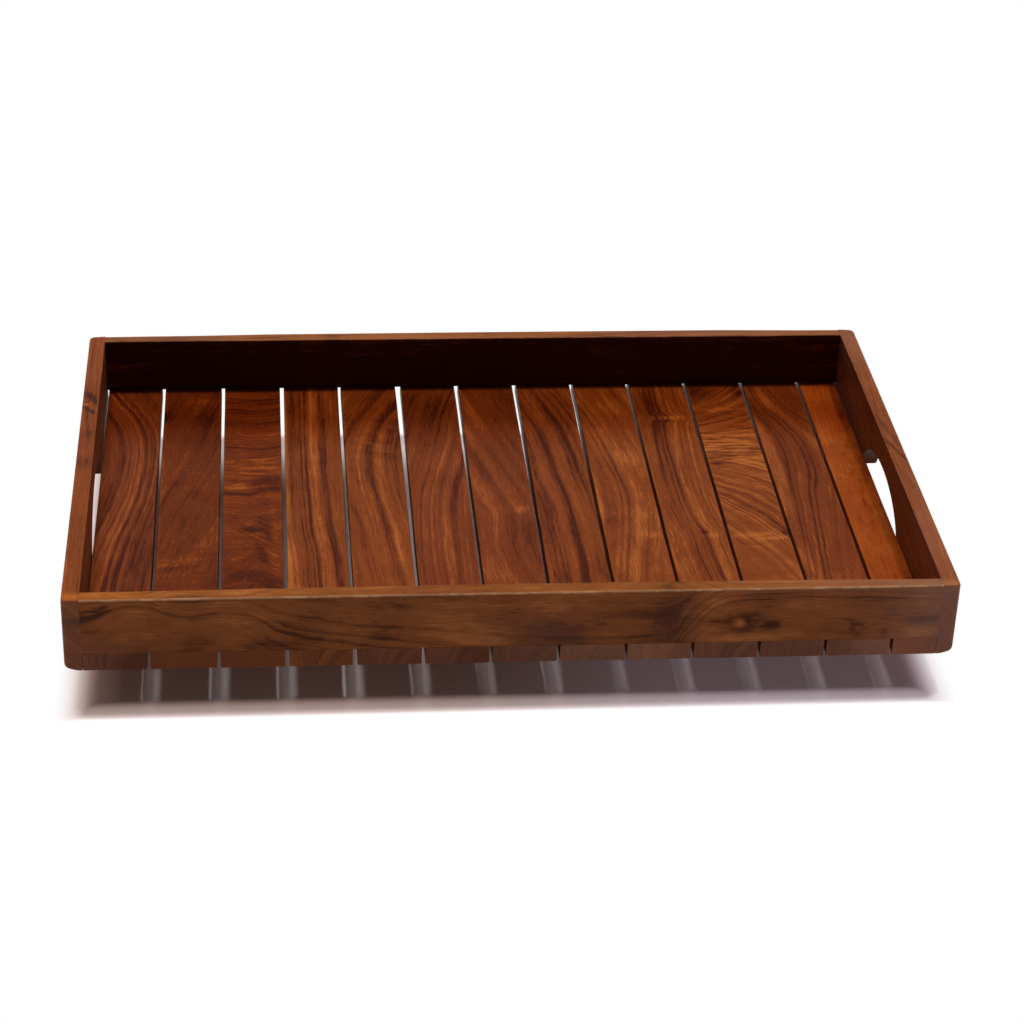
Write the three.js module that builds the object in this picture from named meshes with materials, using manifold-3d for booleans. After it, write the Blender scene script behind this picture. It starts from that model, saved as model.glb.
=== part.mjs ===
// Slatted serving tray in dark hardwood. Two end walls with arched hand holds carry a front and a back
// rail between them, and a floor of slats runs from front to back under the rails.
// Millimetres. X runs along the tray, Y from the front to the back, Z up.
// The origin is the middle of the underside.
import * as THREE from "three";
import { mergeVertices } from "three/addons/utils/BufferGeometryUtils.js";
import Module from "manifold-3d";

const wasm = await Module();
wasm.setup();

// Overall sizes
const trayLength = 450;
const trayDepth = 288;
const trayHeight = 41;

// Boards
const wallThickness = 9;
const railThickness = 9;
const slatThickness = 9.5;
const slatWidth = 32;
const slatGap = 2.1;
const wallSlatGap = 0.4;
const narrowestClosingSlat = 12;

// Edges: the outer corners of the end walls are rounded by hand, the other edges only eased
const cornerRound = 3.6;
const edgeEase = 0.6;

// Hand holds: arches cut up from the bottom edge of the end walls, below a grip bar
const handHoldLength = 92;
const gripBarHeight = 15.5;
const handHoldFootRound = 6;

// Nails, set a little into the underside of the slats
const nailLength = 16;
const nailShankRadius = 0.7;
const nailHeadRadius = 1.3;
const nailHeadThickness = 0.6;
const nailTipLength = 2.4;
const nailSet = 0.4;

// Corner dowels, blind in the end wall and in the end of the rail
const dowelRadius = 2;
const dowelChamfer = 0.6;
const dowelInRail = 13;
const dowelWallCover = 3.5;

// Room between a fastener and its hole, and how far a cutting shape runs past the wood
const fastenerClearance = 0.3;
const cutPast = 1;

// Steps along the rounds, eased edges and hand hold arches, and sides of the round pieces
const roundSegments = 2;
const easeSegments = 1;
const archSegments = 10;
const nailSides = 8;
const dowelSides = 12;

// Places that follow from the sizes
const wallInnerX = trayLength / 2 - wallThickness;
const railCentreY = trayDepth / 2 - railThickness / 2;
const handHoldHeight = trayHeight - gripBarHeight;
const nailTipZ = nailSet + nailLength;
const dowelEndX = wallInnerX + wallThickness - dowelWallCover;

// Slats from the left end wall to the right one, the last as wide as the room left
const slatPitch = slatWidth + slatGap;
const slatRunStart = -wallInnerX + wallSlatGap;
const slatRun = wallInnerX - wallSlatGap - slatRunStart;
const fullSlats = Math.floor((slatRun - narrowestClosingSlat) / slatPitch);
const closingWidth = slatRun - fullSlats * slatPitch;
const slats = [];
for (let i = 0; i <= fullSlats; i++) {
  const closing = i === fullSlats;
  const width = closing ? closingWidth : slatWidth;
  const left = slatRunStart + i * slatPitch;
  const name = closing ? "closing_slat" : "slat_" + String(i + 1).padStart(2, "0");
  slats.push({ name, width, centreX: left + width / 2 });
}

// Dowels at a quarter and three quarters of the wood between the nail tips and the top edge
const dowelZoneBottom = nailTipZ + fastenerClearance;
const dowelZone = trayHeight - dowelZoneBottom;
const dowelHeights = {
  lower: dowelZoneBottom + dowelZone / 4,
  upper: trayHeight - dowelZone / 4,
};

// Front and back, left and right, as signs along Y and X
const alongDepth = { front: -1, back: 1 };
const alongLength = { left: -1, right: 1 };

const finishes = {
  wall: { color: "#74401f", roughness: 0.42, metalness: 0 },
  rail: { color: "#6a3a1c", roughness: 0.42, metalness: 0 },
  slat: { color: "#7c3a14", roughness: 0.38, metalness: 0 },
  dowel: { color: "#b98d5c", roughness: 0.7, metalness: 0 },
  nail: { color: "#8d8f92", roughness: 0.4, metalness: 1 },
};

// A closed geometry as a solid that can be joined and cut.
function solidOf(geometry) {
  const bare = geometry.clone();
  bare.deleteAttribute("normal");
  bare.deleteAttribute("uv");
  const merged = mergeVertices(bare);
  const vertProperties = merged.attributes.position.array;
  const triVerts = new Uint32Array(merged.index.array);
  return new wasm.Manifold(new wasm.Mesh({ numProp: 3, vertProperties, triVerts }));
}

// A solid as a geometry with a flat shade on each face.
function geometryOf(solid) {
  const { vertProperties, triVerts } = solid.getMesh();
  const indexed = new THREE.BufferGeometry();
  indexed.setAttribute("position", new THREE.BufferAttribute(vertProperties, 3));
  indexed.setIndex(new THREE.BufferAttribute(triVerts, 1));
  const geometry = indexed.toNonIndexed();
  geometry.computeVertexNormals();
  return geometry;
}

// Rectangle with its own round at each corner, from the lower left counter-clockwise.
function roundedRectangle(low, high, rounds) {
  const [lowerLeft, lowerRight, upperRight, upperLeft] = rounds;
  const outline = new THREE.Shape();
  outline.absarc(low.x + lowerLeft, low.y + lowerLeft, lowerLeft, Math.PI, 1.5 * Math.PI);
  outline.absarc(high.x - lowerRight, low.y + lowerRight, lowerRight, 1.5 * Math.PI, 2 * Math.PI);
  outline.absarc(high.x - upperRight, high.y - upperRight, upperRight, 0, 0.5 * Math.PI);
  outline.absarc(low.x + upperLeft, high.y - upperLeft, upperLeft, 0.5 * Math.PI, Math.PI);
  return outline;
}

// An outline drawn in X and Z, made a bar along Y and centred on it.
function barAlongY(outline, length, curveSegments) {
  const bar = new THREE.ExtrudeGeometry(outline, { depth: length, bevelEnabled: false, curveSegments });
  return bar.rotateX(Math.PI / 2).translate(0, length / 2, 0);
}

// An outline drawn in Y and Z, made a bar along X and centred on it.
function barAlongX(outline, length, curveSegments) {
  const bar = new THREE.ExtrudeGeometry(outline, { depth: length, bevelEnabled: false, curveSegments });
  const turn = new THREE.Matrix4().makeBasis(
    new THREE.Vector3(0, 1, 0),
    new THREE.Vector3(0, 0, 1),
    new THREE.Vector3(1, 0, 0),
  );
  return bar.applyMatrix4(turn).translate(-length / 2, 0, 0);
}

// A round hole along Z from one height to another.
function holeAlongZ(radius, x, y, fromZ, toZ) {
  const hole = new THREE.CylinderGeometry(radius, radius, toZ - fromZ, nailSides);
  return solidOf(hole.rotateX(Math.PI / 2).translate(x, y, (fromZ + toZ) / 2));
}

// The blind hole for a corner dowel, mirrored to the left or right end.
function dowelHole(sideX, y, z) {
  const radius = dowelRadius + fastenerClearance;
  const fromX = wallInnerX - dowelInRail - fastenerClearance;
  const toX = dowelEndX + fastenerClearance;
  const hole = new THREE.CylinderGeometry(radius, radius, toX - fromX, dowelSides);
  return solidOf(hole.rotateZ(-Math.PI / 2).translate((sideX * (fromX + toX)) / 2, y, z));
}

function dowelHolesOf(solid, sideX, sideY) {
  let cut = solid;
  for (const z of Object.values(dowelHeights)) {
    cut = cut.subtract(dowelHole(sideX, sideY * railCentreY, z));
  }
  return cut;
}

// End wall: rounded at its outer upright corners and along its outer bottom edge.
function endWallGeometry(sideX) {
  const outerRound = Math.min(cornerRound, wallThickness / 2);
  const low = { x: -trayLength / 2, y: -trayDepth / 2 };
  const high = { x: -wallInnerX, y: trayDepth / 2 };
  const plan = roundedRectangle(low, high, [outerRound, edgeEase, edgeEase, outerRound]);
  const board = new THREE.ExtrudeGeometry(plan, {
    depth: trayHeight,
    bevelEnabled: false,
    curveSegments: roundSegments,
  });

  const sectionLow = { x: low.x, y: 0 };
  const sectionHigh = { x: high.x, y: trayHeight };
  const section = roundedRectangle(sectionLow, sectionHigh, [outerRound, edgeEase, edgeEase, edgeEase]);
  const eased = barAlongY(section, trayDepth + 2 * cutPast, roundSegments);

  // The arch, with the two feet that it leaves on the bottom edge rounded
  const footAngle = Math.asin(handHoldFootRound / handHoldHeight);
  const footY = (handHoldLength / 2) * Math.cos(footAngle) + handHoldFootRound;
  const arch = new THREE.Shape();
  arch.moveTo(-footY, -cutPast);
  arch.lineTo(footY, -cutPast);
  arch.absarc(footY, handHoldFootRound, handHoldFootRound, 1.5 * Math.PI, Math.PI, true);
  arch.absellipse(0, 0, handHoldLength / 2, handHoldHeight, footAngle, Math.PI - footAngle);
  arch.absarc(-footY, handHoldFootRound, handHoldFootRound, 0, 1.5 * Math.PI, true);
  const handHold = barAlongX(arch, wallThickness + 2 * cutPast, archSegments);
  handHold.translate(-(wallInnerX + wallThickness / 2), 0, 0);

  let wall = solidOf(board).intersect(solidOf(eased)).subtract(solidOf(handHold));
  for (const sideY of Object.values(alongDepth)) {
    wall = dowelHolesOf(wall, alongLength.left, sideY);
  }
  const geometry = geometryOf(wall);
  return sideX === alongLength.left ? geometry : geometry.rotateZ(Math.PI);
}

// Rail: sits on the slats, takes their nails from below and the dowels in both ends.
function railGeometry(sideY) {
  const low = { x: sideY * railCentreY - railThickness / 2, y: slatThickness };
  const high = { x: sideY * railCentreY + railThickness / 2, y: trayHeight };
  const section = roundedRectangle(low, high, Array(4).fill(edgeEase));
  let rail = solidOf(barAlongX(section, 2 * wallInnerX, easeSegments));
  for (const slat of slats) {
    const radius = nailShankRadius + fastenerClearance;
    const fromZ = slatThickness - cutPast;
    const toZ = nailTipZ + fastenerClearance;
    rail = rail.subtract(holeAlongZ(radius, slat.centreX, sideY * railCentreY, fromZ, toZ));
  }
  for (const sideX of Object.values(alongLength)) {
    rail = dowelHolesOf(rail, sideX, sideY);
  }
  return geometryOf(rail);
}

// Slat: eased along its four long edges, with a stepped nail hole near each end.
function slatGeometry(slat) {
  const low = { x: slat.centreX - slat.width / 2, y: 0 };
  const high = { x: slat.centreX + slat.width / 2, y: slatThickness };
  const section = roundedRectangle(low, high, Array(4).fill(edgeEase));
  let board = solidOf(barAlongY(section, trayDepth, easeSegments));
  for (const sideY of Object.values(alongDepth)) {
    const y = sideY * railCentreY;
    const headTop = nailSet + nailHeadThickness + fastenerClearance;
    const headRadius = nailHeadRadius + fastenerClearance;
    const shankRadius = nailShankRadius + fastenerClearance;
    board = board.subtract(holeAlongZ(headRadius, slat.centreX, y, -cutPast, headTop));
    board = board.subtract(holeAlongZ(shankRadius, slat.centreX, y, -cutPast, slatThickness + cutPast));
  }
  return geometryOf(board);
}

// Nail: flat head, round shank and a drawn point, standing on its head.
function nailGeometry() {
  const profile = [
    new THREE.Vector2(0, 0),
    new THREE.Vector2(nailHeadRadius, 0),
    new THREE.Vector2(nailHeadRadius, nailHeadThickness),
    new THREE.Vector2(nailShankRadius, nailHeadThickness),
    new THREE.Vector2(nailShankRadius, nailLength - nailTipLength),
    new THREE.Vector2(0, nailLength),
  ];
  return new THREE.LatheGeometry(profile, nailSides).rotateX(Math.PI / 2);
}

// Dowel: a round pin with chamfered ends, lying along X about its own middle.
function dowelGeometry() {
  const half = (dowelEndX - wallInnerX + dowelInRail) / 2;
  const profile = [
    new THREE.Vector2(0, -half),
    new THREE.Vector2(dowelRadius - dowelChamfer, -half),
    new THREE.Vector2(dowelRadius, -half + dowelChamfer),
    new THREE.Vector2(dowelRadius, half - dowelChamfer),
    new THREE.Vector2(dowelRadius - dowelChamfer, half),
    new THREE.Vector2(0, half),
  ];
  return new THREE.LatheGeometry(profile, dowelSides).rotateZ(-Math.PI / 2);
}

const tray = new THREE.Group();

function place(name, geometry, finish, x = 0, y = 0, z = 0) {
  const piece = new THREE.Mesh(geometry, new THREE.MeshStandardMaterial(finish));
  piece.name = name;
  piece.position.set(x, y, z);
  tray.add(piece);
}

for (const [side, sideX] of Object.entries(alongLength)) {
  place(side + "_end_wall", endWallGeometry(sideX), finishes.wall);
}
for (const [side, sideY] of Object.entries(alongDepth)) {
  place(side + "_rail", railGeometry(sideY), finishes.rail);
}
for (const slat of slats) {
  place(slat.name, slatGeometry(slat), finishes.slat);
  for (const [side, sideY] of Object.entries(alongDepth)) {
    const name = slat.name + "_nail_" + side;
    place(name, nailGeometry(), finishes.nail, slat.centreX, sideY * railCentreY, nailSet);
  }
}
for (const [sideOfDepth, sideY] of Object.entries(alongDepth)) {
  for (const [sideOfLength, sideX] of Object.entries(alongLength)) {
    for (const [level, z] of Object.entries(dowelHeights)) {
      const name = ["dowel", sideOfDepth, sideOfLength, level].join("_");
      const x = (sideX * (wallInnerX - dowelInRail + dowelEndX)) / 2;
      place(name, dowelGeometry(), finishes.dowel, x, sideY * railCentreY, z);
    }
  }
}

export default tray;
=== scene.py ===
import math
import bmesh
import bpy
from mathutils import Euler, Matrix, Vector, noise


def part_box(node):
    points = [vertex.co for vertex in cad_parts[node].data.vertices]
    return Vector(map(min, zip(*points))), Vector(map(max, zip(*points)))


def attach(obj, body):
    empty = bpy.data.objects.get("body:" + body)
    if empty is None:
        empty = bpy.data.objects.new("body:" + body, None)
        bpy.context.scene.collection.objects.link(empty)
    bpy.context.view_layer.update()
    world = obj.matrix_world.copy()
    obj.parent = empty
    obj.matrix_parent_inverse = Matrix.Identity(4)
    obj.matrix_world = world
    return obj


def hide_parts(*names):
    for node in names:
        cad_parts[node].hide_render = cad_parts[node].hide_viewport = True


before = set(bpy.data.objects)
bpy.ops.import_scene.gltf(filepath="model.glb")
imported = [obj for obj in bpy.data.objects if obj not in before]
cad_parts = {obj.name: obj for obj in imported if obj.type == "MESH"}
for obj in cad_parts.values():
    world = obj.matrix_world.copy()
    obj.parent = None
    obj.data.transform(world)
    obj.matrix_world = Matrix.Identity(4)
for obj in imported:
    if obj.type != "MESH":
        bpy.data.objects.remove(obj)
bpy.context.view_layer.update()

mm = 0.001
touching = 1e-6  # metres
scene = bpy.context.scene
scene.view_settings.view_transform = "Standard"
print("tray frame loaded:", len(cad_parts), "solids")


# node helpers

def put(tree, kind, links=None, **settings):
    node = tree.nodes.new("ShaderNode" + kind)
    for key, value in settings.items():
        setattr(node, key, value)
    for key, value in (links or {}).items():
        if isinstance(value, bpy.types.NodeSocket):
            tree.links.new(value, node.inputs[key])
        else:
            node.inputs[key].default_value = value
    return node


def calc(tree, operation, *values):
    return put(tree, "Math", dict(enumerate(values)), operation=operation).outputs[0]


def calcVector(tree, operation, *values):
    return put(tree, "VectorMath", dict(enumerate(values)), operation=operation).outputs[0]


def parts(tree, vector):
    return put(tree, "SeparateXYZ", {0: vector}).outputs


def join(tree, x, y, z):
    return put(tree, "CombineXYZ", {0: x, 1: y, 2: z}).outputs[0]


def fade(tree, value, low, high, toLow=0.0, toHigh=1.0):
    links = {"Value": value, "From Min": low, "From Max": high, "To Min": toLow, "To Max": toHigh}
    return put(tree, "MapRange", links, interpolation_type="SMOOTHSTEP").outputs[0]


def blend(tree, factor, first, second, mode="MIX"):
    links = {0: factor, 6: first, 7: second}
    return put(tree, "Mix", links, data_type="RGBA", blend_type=mode).outputs[2]


def speckle(tree, vector, detail=2.0, roughness=0.5):
    links = {"Vector": vector, "Scale": 1.0, "Detail": detail, "Roughness": roughness}
    return put(tree, "TexNoise", links)


def newGroup(name, inputs, outputs):
    tree = bpy.data.node_groups.new(name, "ShaderNodeTree")
    for label, value in inputs.items():
        kind = "Vector" if isinstance(value, tuple) and len(value) == 3 else "Float"
        kind = "Color" if isinstance(value, tuple) and len(value) == 4 else kind
        socket = tree.interface.new_socket(name=label, in_out="INPUT", socket_type="NodeSocket" + kind)
        socket.default_value = value
    for label, kind in outputs.items():
        tree.interface.new_socket(name=label, in_out="OUTPUT", socket_type="NodeSocket" + kind)
    return tree, tree.nodes.new("NodeGroupInput").outputs, tree.nodes.new("NodeGroupOutput").inputs


def useGroup(tree, group, links):
    return put(tree, "Group", links, node_tree=group).outputs


def paint(red, green, blue):
    def linear(level):
        level = level / 255
        return level / 12.92 if level <= 0.04045 else ((level + 0.055) / 1.055) ** 2.4
    return (linear(red), linear(green), linear(blue), 1.0)


# wood groups, all lengths in millimetres on a board: X across, Y along the grain, Z through it

def bell(tree, value, place, reach):
    step = calc(tree, "DIVIDE", calc(tree, "SUBTRACT", value, place), reach)
    return calc(tree, "EXPONENT", calc(tree, "MULTIPLY", calc(tree, "MULTIPLY", step, step), -1.0))


def makeGrowthRings():
    tree, given, out = newGroup(
        "growth rings",
        {"Board": (0.0, 0.0, 0.0), "Flow": 0.0, "Spread": 0.0, "Face": 0.0, "Tilt": 0.0, "Arc": 0.0,
         "Wander": 1.0, "Seed": 0.0},
        {"Ring": "Float"},
    )
    shift = join(tree, given["Seed"], given["Seed"], given["Seed"])
    warpAt = calcVector(tree, "ADD", calcVector(tree, "MULTIPLY", given["Board"], (0.07, 0.02, 0.07)), shift)
    warp = calc(tree, "SUBTRACT", speckle(tree, warpAt, 2.0, 0.45).outputs[0], 0.5)
    across, _, depth = parts(tree, given["Board"])
    spread = calc(tree, "MULTIPLY_ADD", calc(tree, "MULTIPLY", across, given["Spread"]), 1 / 16, 1.0)
    flow = calc(tree, "MULTIPLY_ADD", given["Flow"], spread, calc(tree, "MULTIPLY", warp, given["Wander"]))
    side = calc(tree, "SUBTRACT", across, flow)
    below = calc(tree, "SUBTRACT", given["Face"], depth)
    slope = calc(tree, "MULTIPLY_ADD", calc(tree, "MULTIPLY", across, given["Arc"]), 1 / 16, given["Tilt"])
    tree.links.new(calc(tree, "MULTIPLY_ADD", below, slope, side), out["Ring"])
    return tree


def makeFineGrain():
    tree, given, out = newGroup(
        "fine grain",
        {"Board": (0.0, 0.0, 0.0), "Ring": 0.0, "Seed": 0.0},
        {"Lines": "Float", "Broad": "Float", "Fibre": "Float", "Pores": "Float", "Mottle": "Float", "Jitter": "Float",
         "Flecks": "Float", "Hair": "Float"},
    )
    along = parts(tree, given["Board"])["Y"]

    def ringNoise(ringStep, alongStep, offset, detail, roughness):
        ring = calc(tree, "MULTIPLY", given["Ring"], ringStep)
        run = calc(tree, "MULTIPLY", along, alongStep)
        place = join(tree, ring, run, calc(tree, "ADD", given["Seed"], offset))
        return speckle(tree, place, detail, roughness).outputs[0]

    def boardNoise(steps, offset, detail, roughness):
        seed = calc(tree, "ADD", given["Seed"], offset)
        place = calcVector(tree, "MULTIPLY", given["Board"], steps)
        place = calcVector(tree, "ADD", place, join(tree, seed, 0.0, seed))
        return speckle(tree, place, detail, roughness).outputs[0]

    fine = ringNoise(0.62, 0.011, 3.0, 2.0, 0.6)
    dark = fade(tree, fine, 0.5, 0.34)
    pale = calc(tree, "MULTIPLY", fade(tree, fine, 0.52, 0.7), 0.7)
    tree.links.new(calc(tree, "SUBTRACT", pale, dark), out["Lines"])
    tree.links.new(calc(tree, "SUBTRACT", ringNoise(0.17, 0.006, 8.0, 1.0, 0.5), 0.5), out["Broad"])
    tree.links.new(boardNoise((1.5, 0.075, 1.5), 0.0, 3.0, 0.6), out["Fibre"])
    tree.links.new(fade(tree, ringNoise(2.0, 0.15, 5.0, 1.0, 0.5), 0.58, 0.72), out["Pores"])
    tree.links.new(calc(tree, "SUBTRACT", boardNoise((0.06, 0.024, 0.06), 9.0, 3.0, 0.55), 0.5), out["Mottle"])
    tree.links.new(fade(tree, ringNoise(1.05, 0.3, 21.0, 1.0, 0.5), 0.62, 0.8), out["Flecks"])
    tree.links.new(calc(tree, "SUBTRACT", ringNoise(1.5, 0.03, 31.0, 3.0, 0.7), 0.5), out["Hair"])
    tree.links.new(calc(tree, "SUBTRACT", boardNoise((0.35, 0.03, 0.35), 14.0, 2.0, 0.5), 0.5), out["Jitter"])
    return tree


def makeCurl():
    tree, given, out = newGroup(
        "curl",
        {"Board": (0.0, 0.0, 0.0), "Place": (0.0, 0.0, 0.0), "Reach": (12.0, 20.0, 30.0), "Slant": 0.0,
         "Step": 3.0, "Seed": 0.0},
        {"Curl": "Float"},
    )
    across, along, _ = parts(tree, given["Board"])
    run = calc(tree, "DIVIDE", calc(tree, "MULTIPLY_ADD", across, given["Slant"], along), given["Step"])
    at = join(tree, calc(tree, "MULTIPLY", across, 0.07), run, given["Seed"])
    ripple = calc(tree, "SUBTRACT", speckle(tree, at, 2.0, 0.55).outputs[0], 0.5)
    offset = calcVector(tree, "DIVIDE", calcVector(tree, "SUBTRACT", given["Board"], given["Place"]), given["Reach"])
    size = put(tree, "VectorMath", {0: offset}, operation="LENGTH").outputs["Value"]
    tree.links.new(calc(tree, "MULTIPLY", ripple, bell(tree, size, 0.0, 1.0)), out["Curl"])
    return tree


def makePatch():
    tree, given, out = newGroup(
        "patch",
        {"Board": (0.0, 0.0, 0.0), "Place": (0.0, 0.0, 0.0), "Reach": (10.0, 20.0, 10.0), "Slant": 0.0, "Lean": 0.0},
        {"Mask": "Float"},
    )
    offset = calcVector(tree, "SUBTRACT", given["Board"], given["Place"])
    across, along, depth = parts(tree, offset)
    across = calc(tree, "MULTIPLY_ADD", along, given["Slant"], across)
    depth = calc(tree, "MULTIPLY_ADD", along, given["Lean"], depth)
    offset = calcVector(tree, "DIVIDE", join(tree, across, along, depth), given["Reach"])
    ragged = calcVector(tree, "MULTIPLY", given["Board"], (0.2, 0.09, 0.2))
    wobble = calcVector(tree, "SUBTRACT", speckle(tree, ragged, 2.0, 0.5).outputs["Color"], (0.5, 0.5, 0.5))
    size = put(tree, "VectorMath", {0: calcVector(tree, "ADD", offset, wobble)}, operation="LENGTH").outputs["Value"]
    tree.links.new(bell(tree, size, 0.0, 1.0), out["Mask"])
    return tree


# lighter eased edges: partly wear, partly a painted highlight where the edges catch the light
def makeWearAndHighlightEdges():
    tree, given, out = newGroup(
        "rubbed edges",
        {"Board": (0.0, 0.0, 0.0), "Half": (16.0, 144.0, 4.75), "Reach": 1.2, "Least": 0.0},
        {"Mask": "Float"},
    )
    near = calcVector(tree, "SUBTRACT", given["Half"], calcVector(tree, "ABSOLUTE", given["Board"]))
    first, second, third = parts(tree, near)
    low = calc(tree, "MINIMUM", first, second)
    high = calc(tree, "MAXIMUM", first, second)
    middle = calc(tree, "MAXIMUM", low, calc(tree, "MINIMUM", high, third))
    spots = speckle(tree, calcVector(tree, "MULTIPLY", given["Board"], (0.11, 0.11, 0.11)), 3.0, 0.6).outputs[0]
    edge = calc(tree, "SUBTRACT", 1.0, fade(tree, calc(tree, "DIVIDE", middle, given["Reach"]), 0.0, 1.0))
    wornAndLit = calc(tree, "MAXIMUM", fade(tree, spots, 0.38, 0.62), given["Least"])
    tree.links.new(calc(tree, "MULTIPLY", edge, wornAndLit), out["Mask"])
    return tree


growthRings = makeGrowthRings()
fineGrain = makeFineGrain()
curlGroup = makeCurl()
patchGroup = makePatch()
wearAndHighlightEdges = makeWearAndHighlightEdges()
print("wood groups made")


# wood materials

woodFinish = {
    "roughness": 0.38,
    "gloss": 0.06,
    "bump": 0.12,
    "bumpDepth": 0.25 * mm,
    "contrast": 0.9,
    # painted shade at the back of the slats, and where along them it runs, in mm
    "farShade": (1.03, 0.76, 0.4, 1.0),
    "farShadeReach": (52, 96),
    "topTintDepth": (3.0, 0.5),
    "wearAndHighlightReach": 1.4,
    "endFacing": (0.55, 0.9),
    "fibreShine": 0.14,
    "endShine": 0.15,
}

# how much each kind of grain darkens or lightens a board, unless its figure says otherwise
grainShares = {"Lines": 0.16, "Hair": 0.62, "Broad": 0.5, "Mottle": 0.5, "Pores": -0.2, "Flecks": 0.25}

# the walls' end grain starts beyond the hand holds, whose far ends get painted shade
holdShade = {
    "endStart": (100, 130),
    "place": (-10, 46, 0),
    "reach": (13, 11, 60),
    "facing": (-0.3, -0.7),
}

# how a board's own X Y Z becomes across, along and through the grain
grainTurn = {
    "Y": (0.0, 0.0, 0.0),
    "X": (math.radians(90), 0.0, math.radians(90)),
    "wall": (0.0, math.radians(90), 0.0),
}


def followPath(tree, run, path):
    # the line that the grain follows, as (run, side) points in mm
    path = sorted(path)
    runs, sides = zip(*path)
    low, high = min(sides), max(sides) + 1e-3
    place = put(tree, "MapRange", {"Value": run, "From Min": runs[0], "From Max": runs[-1]}).outputs[0]
    curve = put(tree, "FloatCurve", {"Value": place})
    points = curve.mapping.curves[0].points
    while len(points) < len(path):
        points.new(0.5, 0.5)
    for point, (at, side) in zip(points, path):
        point.location = ((at - runs[0]) / (runs[-1] - runs[0]), (side - low) / (high - low))
    curve.mapping.update()
    return calc(tree, "MULTIPLY_ADD", curve.outputs[0], high - low, low)


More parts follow.
